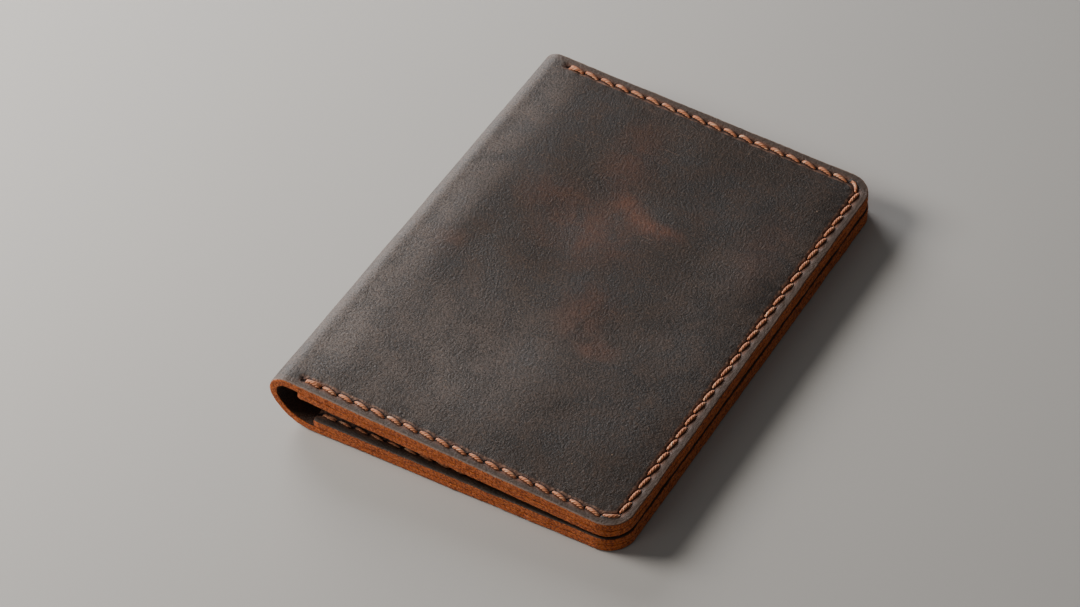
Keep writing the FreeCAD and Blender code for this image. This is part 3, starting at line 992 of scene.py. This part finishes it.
for index, (name, first, second, stood_for) in enumerate(STRIPS):
    chosen = (middles > limits[index]) & (middles < limits[index + 1])
    *strip, strip_normals = part_of(points, faces, notes, normals, chosen)
    piece = make_mesh(name, *strip, cover_leather, strip_normals)
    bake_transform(piece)
    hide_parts(*stood_for)

back_pocket_length = OPEN_X - BACK_MOUTH_X
front_pocket_length = FRONT_LENGTH - FRONT_MOUTH
POCKET_DEPTH = NOSE_RADIUS - 2 * LEATHER
POCKETS = [
    (
        "back_pocket",
        back_pocket_length,
        HALF,
        (CORNER_RADIUS, CORNER_RADIUS, MOUTH_CORNER, MOUTH_CORNER),
        LEATHER,
        lambda u, y, d: lay_back(BACK_MOUTH_X + u, y, BACK_TOP - d * POCKET_THIN),
        [(back_seam, lambda u: BACK_MOUTH_X + u)],
        "back",
        pocket_leather,
        "pocket_leather",
        "cover_back",
    ),
    (
        "front_pocket",
        front_pocket_length,
        HALF,
        (MOUTH_CORNER, MOUTH_CORNER, CORNER_RADIUS, CORNER_RADIUS),
        LEATHER,
        lambda u, y, d: lay_front(FRONT_LENGTH - u, y, POCKET_DEPTH + d * POCKET_THIN),
        [(front_seam, lambda u: FRONT_LENGTH - u), (card_seam, lambda u: FRONT_LENGTH - u)],
        "front",
        pocket_leather,
        "pocket_leather",
        "cover_front",
    ),
    (
        "card_pocket",
        CARD_DEPTH,
        CARD_HALF,
        (MOUTH_CORNER, MOUTH_CORNER, CARD_CORNER, CARD_CORNER),
        CARD_LEATHER,
        lambda u, y, d: lay_front(CARD_FAR - u, y, POCKET_DEPTH - CARD_LEATHER + d * CARD_THIN),
        [(card_seam, lambda u: CARD_FAR - u)],
        "front",
        card_leather,
        "card_leather",
        "front_pocket_leather",
    ),
]
for seed, row in zip(POCKET_SEEDS, POCKETS):
    name, length, half, radii, thick, place, seams, body, material, finish, under = row
    points, faces, notes = build_panel(
        length,
        half,
        radii,
        thick,
        place,
        seams,
        pocket_relief,
        POCKET_STEP,
        rim=0.4 if thick == LEATHER else 0.3,
        seed=seed,
    )
    piece = make_mesh(f"{name}_leather", points, faces, notes, material)
    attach(piece, body)
    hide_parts(name)

# Each side of a seam: its height, +1 up or -1 down, the stitches' arch, and whether they are seen close.
back_sides = [(0.42, -1, 0.4, False), (BACK_TOP - 0.5, 1, 0.34, True)]
front_sides = [(NOSE_RADIUS - 0.2, 1, 0.62, True), (POCKET_DEPTH + 0.34, -1, 0.42, False)]
card_sides = [(POCKET_DEPTH - CARD_LEATHER + 0.34, -1, 0.42, True)]
back_thread = sew("back_thread", back_seam, back_sides, "back", lay_back, waxed_thread, True)
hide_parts("back_seam_thread")
front_thread = sew("front_thread", front_seam, front_sides, "front", lay_front, waxed_thread, True)
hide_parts("front_seam_thread")
card_thread = sew("card_thread", card_seam, card_sides, "front", lay_front, waxed_thread, False)
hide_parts("card_seam_thread")


# ---------------------------------------------------------------- floor, light and camera


def flat_square(name, reach, height, material):
    """A level square round the origin."""
    corners = [(-reach, -reach), (reach, -reach), (reach, reach), (-reach, reach)]
    mesh = bpy.data.meshes.new(name)
    mesh.from_pydata([(x, y, height) for x, y in corners], [], [(0, 1, 2, 3)])
    mesh.materials.append(material)
    made = bpy.data.objects.new(name, mesh)
    bpy.context.scene.collection.objects.link(made)
    return made


def soft_light(name, azimuth, elevation, distance, size, power, colour):
    """An area light that faces the wallet. Azimuth is measured from +X towards +Y, in degrees."""
    a, e = math.radians(azimuth), math.radians(elevation)
    towards = Vector((math.cos(a) * math.cos(e), math.sin(a) * math.cos(e), math.sin(e)))
    data = bpy.data.lights.new(name, "AREA")
    data.shape = "DISK"
    data.size = size
    data.energy = power
    data.color = colour
    light = bpy.data.objects.new(name, data)
    light.location = towards * distance
    light.rotation_euler = towards.to_track_quat("Z", "Y").to_euler()
    bpy.context.scene.collection.objects.link(light)


floor = flat_square("floor", 3.0, -0.00002, plain("floor_paper", (0.47, 0.46, 0.445), 0.85))

soft_light("window", 196, 32, 0.66, 0.3, 5.8, (1.0, 0.95, 0.89))
soft_light("sky", 146, 20, 0.7, 0.4, 4.8, (0.97, 0.97, 0.98))
soft_light("bounce", -110, 30, 1.3, 0.7, 1.2, (1.0, 0.95, 0.9))

world = bpy.data.worlds.new("room")
world.use_nodes = True
world.node_tree.nodes["Background"].inputs["Color"].default_value = (0.93, 0.91, 0.89, 1)
world.node_tree.nodes["Background"].inputs["Strength"].default_value = 0.12
bpy.context.scene.world = world

# The camera looks down on the wallet from beyond its near open corner.
PITCH = math.radians(45.361)
YAW = math.radians(-32.363)
ROLL = math.radians(-3.063)
DISTANCE = 933.24
ASIDE = 10.914
ABOVE = -2.219
right = Vector((math.cos(YAW), -math.sin(YAW), 0))
back_of_view = Vector((math.sin(YAW), math.cos(YAW), 0))
up = back_of_view * math.sin(PITCH) + Vector((0, 0, math.cos(PITCH)))
forward = back_of_view * math.cos(PITCH) - Vector((0, 0, math.sin(PITCH)))
eye = -(right * ASIDE + up * ABOVE + forward * DISTANCE) * MM
camera_right = right * math.cos(ROLL) + up * math.sin(ROLL)
camera_up = up * math.cos(ROLL) - right * math.sin(ROLL)
camera_data = bpy.data.cameras.new("camera")
camera_data.lens = 119.13
camera_data.sensor_width = 36.0
camera_data.clip_start = 0.05
camera_data.clip_end = 20.0
camera = bpy.data.objects.new("camera", camera_data)
turned = Matrix([camera_right, camera_up, -forward]).transposed().to_4x4()
camera.matrix_world = Matrix.Translation(eye) @ turned
bpy.context.scene.collection.objects.link(camera)
bpy.context.scene.camera = camera
